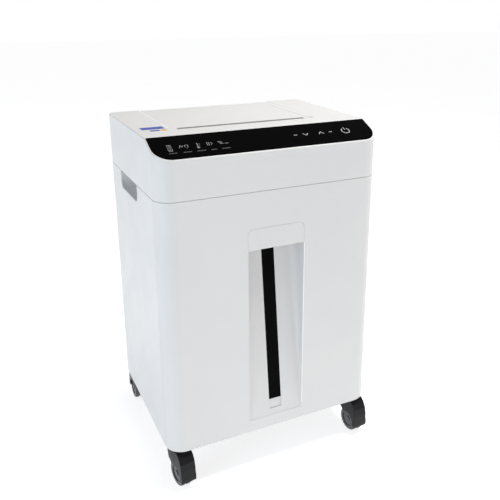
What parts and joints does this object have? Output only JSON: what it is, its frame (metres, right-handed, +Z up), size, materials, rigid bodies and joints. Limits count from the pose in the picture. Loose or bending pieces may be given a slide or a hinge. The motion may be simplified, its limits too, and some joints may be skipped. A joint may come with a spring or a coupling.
{
  "type": "paper shredder",
  "caption": "Floor-standing office paper shredder on twin-wheel casters: sloped touch panel, feed slot, geared cutter block and pull-out bin with a level window.",
  "frame": {"origin": "on the floor, under the middle of the machine with its casters as they rest", "axes": "+X to the right along the front, +Y towards the back, +Z up; the front faces -Y"},
  "size_m": [0.385, 0.3347, 0.594],
  "materials": {
    "white_shell": "fine satin moulded plastic, white",
    "white_inner": "plain moulded plastic, off-white",
    "panel_gloss": "high gloss black touch panel",
    "window_smoked": "smoked gloss window",
    "circuit_board": "green solder mask",
    "black_plastic": "fine black moulded plastic",
    "rocker_black": "polished black plastic",
    "zinc_screw": "zinc plated",
    "plate_steel": "galvanised sheet",
    "bright_steel": "turned bright steel",
    "cutter_steel": "hardened steel, oiled",
    "bronze_bush": "sintered bronze",
    "grey_nylon": "dark grey nylon",
    "gear_steel": "sintered steel, greased",
    "gear_nylon": "natural nylon",
    "motor_can": "dark paint",
    "board_parts": "mixed component bodies",
    "base_grey": "dark grey moulded plastic",
    "bin_black": "black moulded plastic",
    "caster_hood": "black nylon, slightly glossy",
    "caster_wheel": "dark grey nylon"
  },
  "bodies": {
    "machine": {"head_cover": "white_shell", "control_panel": "panel_gloss", "touch_board": "circuit_board", "feed_throat": "black_plastic", "paper_sensor": "black_plastic", "head_pan": "white_inner", "cover_screws": "zinc_screw", "left_side_plate": "plate_steel", "right_side_plate": "plate_steel", "tie_rods": "bright_steel", "frame_nuts": "zinc_screw", "cutter_bushes": "bronze_bush", "front_stripper": "grey_nylon", "rear_stripper": "grey_nylon", "gear_posts": "bright_steel", "gear_plate": "plate_steel", "motor_can": "motor_can", "main_board": "circuit_board", "board_parts": "board_parts", "power_inlet": "black_plastic", "cabinet_shell": "white_shell", "cabinet_base": "base_grey", "front_crossbar": "plate_steel", "left_grip_cup": "white_shell", "right_grip_cup": "white_shell", "bin_switch": "black_plastic", "caster_sockets": "black_plastic"},
    "bin": {"bin_front": "white_shell", "bin_pull": "white_shell", "bin_window": "window_smoked", "bin_tub": "bin_black", "bin_screws": "zinc_screw"},
    "rear_roller": {"rear_cutter": "cutter_steel", "rear_sync_gear": "gear_steel", "final_gear": "gear_steel"},
    "front_roller": {"front_cutter": "cutter_steel", "front_sync_gear": "gear_steel"},
    "idler_b": {"idler_gear_b": "gear_steel"},
    "idler_a": {"idler_gear_a": "gear_nylon"},
    "motor_rotor": {"motor_shaft": "bright_steel", "motor_fan": "black_plastic"},
    "power_rocker": {"power_rocker": "rocker_black"},
    "bin_switch_plunger": {"bin_switch_plunger": "rocker_black"},
    "caster_front_left": {"caster_hood_front_left": "caster_hood", "caster_pins_front_left": "bright_steel"},
    "wheel_outer_front_left": {"wheel_outer_front_left": "caster_wheel"},
    "wheel_inner_front_left": {"wheel_inner_front_left": "caster_wheel"},
    "caster_front_right": {"caster_hood_front_right": "caster_hood", "caster_pins_front_right": "bright_steel"},
    "wheel_outer_front_right": {"wheel_outer_front_right": "caster_wheel"},
    "wheel_inner_front_right": {"wheel_inner_front_right": "caster_wheel"},
    "caster_rear_left": {"caster_hood_rear_left": "caster_hood", "caster_pins_rear_left": "bright_steel"},
    "wheel_outer_rear_left": {"wheel_outer_rear_left": "caster_wheel"},
    "wheel_inner_rear_left": {"wheel_inner_rear_left": "caster_wheel"},
    "caster_rear_right": {"caster_hood_rear_right": "caster_hood", "caster_pins_rear_right": "bright_steel"},
    "wheel_outer_rear_right": {"wheel_outer_rear_right": "caster_wheel"},
    "wheel_inner_rear_right": {"wheel_inner_rear_right": "caster_wheel"}
  },
  "joints": [
    {"name": "bin_slide", "type": "slide", "parent": "machine", "child": "bin", "axis": [0, -1, 0], "range_m": [0, 0.24]},
    {"name": "rear_cutter_spin", "type": "hinge", "parent": "machine", "child": "rear_roller", "pos_m": [0, -0.02775, 0.5285], "axis": [1, 0, 0], "continuous": true},
    {"name": "front_cutter_spin", "type": "hinge", "parent": "machine", "child": "front_roller", "pos_m": [0, -0.06825, 0.5285], "axis": [1, 0, 0], "continuous": true},
    {"name": "idler_b_spin", "type": "hinge", "parent": "machine", "child": "idler_b", "pos_m": [0, 0.00975, 0.5285], "axis": [1, 0, 0], "continuous": true},
    {"name": "idler_a_spin", "type": "hinge", "parent": "machine", "child": "idler_a", "pos_m": [0, 0.046, 0.5285], "axis": [1, 0, 0], "continuous": true},
    {"name": "motor_spin", "type": "hinge", "parent": "machine", "child": "motor_rotor", "pos_m": [0, 0.08, 0.5285], "axis": [1, 0, 0], "continuous": true},
    {"name": "power_rocker_tilt", "type": "hinge", "parent": "machine", "child": "power_rocker", "pos_m": [-0.098, 0.1355, 0.534], "axis": [1, 0, 0], "range_deg": [0, 18]},
    {"name": "bin_switch_press", "type": "slide", "parent": "machine", "child": "bin_switch_plunger", "axis": [0, 1, 0], "range_m": [0, 0.002], "stiffness_N_per_m": 200},
    {"name": "swivel_front_left", "type": "hinge", "parent": "machine", "child": "caster_front_left", "pos_m": [-0.1715, -0.123, 0.071], "axis": [0, 0, 1], "continuous": true},
    {"name": "roll_outer_front_left", "type": "hinge", "parent": "caster_front_left", "child": "wheel_outer_front_left", "pos_m": [-0.16868, -0.14078, 0.022], "axis": [0.9877, 0.1564, 0], "continuous": true},
    {"name": "roll_inner_front_left", "type": "hinge", "parent": "caster_front_left", "child": "wheel_inner_front_left", "pos_m": [-0.16868, -0.14078, 0.022], "axis": [0.9877, 0.1564, 0], "continuous": true},
    {"name": "swivel_front_right", "type": "hinge", "parent": "machine", "child": "caster_front_right", "pos_m": [0.171, -0.123, 0.071], "axis": [0, 0, 1], "continuous": true},
    {"name": "roll_outer_front_right", "type": "hinge", "parent": "caster_front_right", "child": "wheel_outer_front_right", "pos_m": [0.17257, -0.14093, 0.022], "axis": [0.9962, 0.0872, 0], "continuous": true},
    {"name": "roll_inner_front_right", "type": "hinge", "parent": "caster_front_right", "child": "wheel_inner_front_right", "pos_m": [0.17257, -0.14093, 0.022], "axis": [0.9962, 0.0872, 0], "continuous": true},
    {"name": "swivel_rear_left", "type": "hinge", "parent": "machine", "child": "caster_rear_left", "pos_m": [-0.17, 0.1225, 0.071], "axis": [0, 0, 1], "continuous": true},
    {"name": "roll_outer_rear_left", "type": "hinge", "parent": "caster_rear_left", "child": "wheel_outer_rear_left", "pos_m": [-0.17, 0.1405, 0.022], "axis": [-1, 0, 0], "continuous": true},
    {"name": "roll_inner_rear_left", "type": "hinge", "parent": "caster_rear_left", "child": "wheel_inner_rear_left", "pos_m": [-0.17, 0.1405, 0.022], "axis": [-1, 0, 0], "continuous": true},
    {"name": "swivel_rear_right", "type": "hinge", "parent": "machine", "child": "caster_rear_right", "pos_m": [0.17, 0.1225, 0.071], "axis": [0, 0, 1], "continuous": true},
    {"name": "roll_outer_rear_right", "type": "hinge", "parent": "caster_rear_right", "child": "wheel_outer_rear_right", "pos_m": [0.17188, 0.1404, 0.022], "axis": [-0.9945, 0.1045, 0], "continuous": true},
    {"name": "roll_inner_rear_right", "type": "hinge", "parent": "caster_rear_right", "child": "wheel_inner_rear_right", "pos_m": [0.17188, 0.1404, 0.022], "axis": [-0.9945, 0.1045, 0], "continuous": true}
  ],
  "couplings": [
    {"joint": "front_cutter_spin", "follows": "rear_cutter_spin", "ratio": -1},
    {"joint": "idler_b_spin", "follows": "rear_cutter_spin", "ratio": -3.1667},
    {"joint": "idler_a_spin", "follows": "rear_cutter_spin", "ratio": 12.139},
    {"joint": "motor_spin", "follows": "rear_cutter_spin", "ratio": -56.648}
  ]
}
